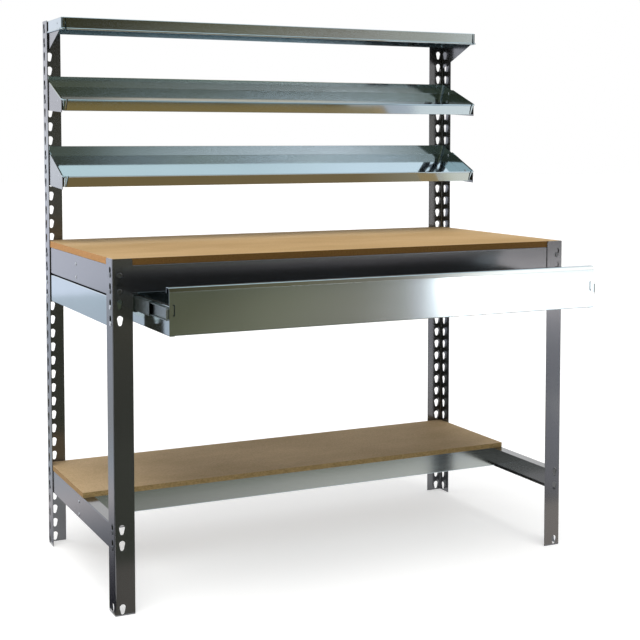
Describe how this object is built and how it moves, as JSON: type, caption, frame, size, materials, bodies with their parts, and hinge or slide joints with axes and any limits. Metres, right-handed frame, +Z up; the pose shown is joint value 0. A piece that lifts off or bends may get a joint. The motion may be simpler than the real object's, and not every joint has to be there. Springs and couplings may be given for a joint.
{
  "type": "jewelers bench",
  "caption": "Steel workbench with a wood-board top, a wide pull-out drawer, a half-depth lower shelf and tilted parts trays on tall perforated uprights.",
  "frame": {"origin": "centre of the bench's outline on the floor, with the drawer at its rest opening", "axes": "X across the bench, Y from the drawer front to the uprights, Z up; the drawer opens along -Y"},
  "size_m": [1.2736, 0.8568, 1.44],
  "materials": {
    "painted_steel": "satin dark grey paint",
    "galvanised_sheet": "smooth galvanised sheet",
    "slide_steel": "bright zinc",
    "ball_cage_steel": "polished",
    "zinc_fastener": "zinc plated",
    "particle_board": "bare particle board"
  },
  "bodies": {
    "bench_frame": {"bracket_studs": "painted_steel", "cross_member_rivets": "zinc_fastener", "drawer_rail_left": "galvanised_sheet", "drawer_rail_right": "galvanised_sheet", "drawer_rail_studs": "zinc_fastener", "frame_studs": "painted_steel", "front_leg_left": "painted_steel", "front_leg_right": "painted_steel", "lower_shelf_board": "particle_board", "lower_tray": "galvanised_sheet", "lower_tray_bracket_left": "painted_steel", "lower_tray_bracket_right": "painted_steel", "middle_tray": "galvanised_sheet", "middle_tray_bracket_left": "painted_steel", "middle_tray_bracket_right": "painted_steel", "rear_upright_left": "painted_steel", "rear_upright_right": "painted_steel", "shelf_end_rail_left": "painted_steel", "shelf_end_rail_right": "painted_steel", "shelf_front_beam": "galvanised_sheet", "shelf_rear_beam": "painted_steel", "slide_outer_left": "galvanised_sheet", "slide_outer_right": "galvanised_sheet", "top_tray": "galvanised_sheet", "top_tray_bracket_left": "painted_steel", "top_tray_bracket_right": "painted_steel", "tray_rivets": "zinc_fastener", "worktop_board": "particle_board", "worktop_end_rail_left": "painted_steel", "worktop_end_rail_right": "painted_steel", "worktop_front_beam": "painted_steel", "worktop_rear_beam": "painted_steel", "worktop_stiffener": "painted_steel"},
    "drawer": {"drawer_back": "galvanised_sheet", "drawer_bottom": "galvanised_sheet", "drawer_front": "galvanised_sheet", "drawer_side_left": "galvanised_sheet", "drawer_side_right": "galvanised_sheet", "slide_inner_left": "slide_steel", "slide_inner_right": "slide_steel"},
    "slide_middle_left": {"slide_middle_left": "slide_steel"},
    "slide_middle_right": {"slide_middle_right": "slide_steel"},
    "outer_cage_left": {"outer_ball_cage_left": "ball_cage_steel"},
    "outer_cage_right": {"outer_ball_cage_right": "ball_cage_steel"},
    "inner_cage_left": {"inner_ball_cage_left": "ball_cage_steel"},
    "inner_cage_right": {"inner_ball_cage_right": "ball_cage_steel"}
  },
  "joints": [
    {"name": "drawer_slide", "type": "slide", "parent": "bench_frame", "child": "drawer", "axis": [0, -1, 0], "range_m": [-0.199, 0.281]},
    {"name": "middle_slide_left", "type": "slide", "parent": "bench_frame", "child": "slide_middle_left", "axis": [0, -1, 0], "range_m": [-0.0995, 0.1405]},
    {"name": "outer_cage_roll_left", "type": "slide", "parent": "bench_frame", "child": "outer_cage_left", "axis": [0, -1, 0], "range_m": [-0.04975, 0.07025]},
    {"name": "inner_cage_roll_left", "type": "slide", "parent": "bench_frame", "child": "inner_cage_left", "axis": [0, -1, 0], "range_m": [-0.14925, 0.21075]},
    {"name": "middle_slide_right", "type": "slide", "parent": "bench_frame", "child": "slide_middle_right", "axis": [0, -1, 0], "range_m": [-0.0995, 0.1405]},
    {"name": "outer_cage_roll_right", "type": "slide", "parent": "bench_frame", "child": "outer_cage_right", "axis": [0, -1, 0], "range_m": [-0.04975, 0.07025]},
    {"name": "inner_cage_roll_right", "type": "slide", "parent": "bench_frame", "child": "inner_cage_right", "axis": [0, -1, 0], "range_m": [-0.14925, 0.21075]}
  ],
  "couplings": [
    {"joint": "middle_slide_left", "follows": "drawer_slide", "ratio": 0.5},
    {"joint": "outer_cage_roll_left", "follows": "drawer_slide", "ratio": 0.25},
    {"joint": "inner_cage_roll_left", "follows": "drawer_slide", "ratio": 0.75},
    {"joint": "middle_slide_right", "follows": "drawer_slide", "ratio": 0.5},
    {"joint": "outer_cage_roll_right", "follows": "drawer_slide", "ratio": 0.25},
    {"joint": "inner_cage_roll_right", "follows": "drawer_slide", "ratio": 0.75}
  ]
}
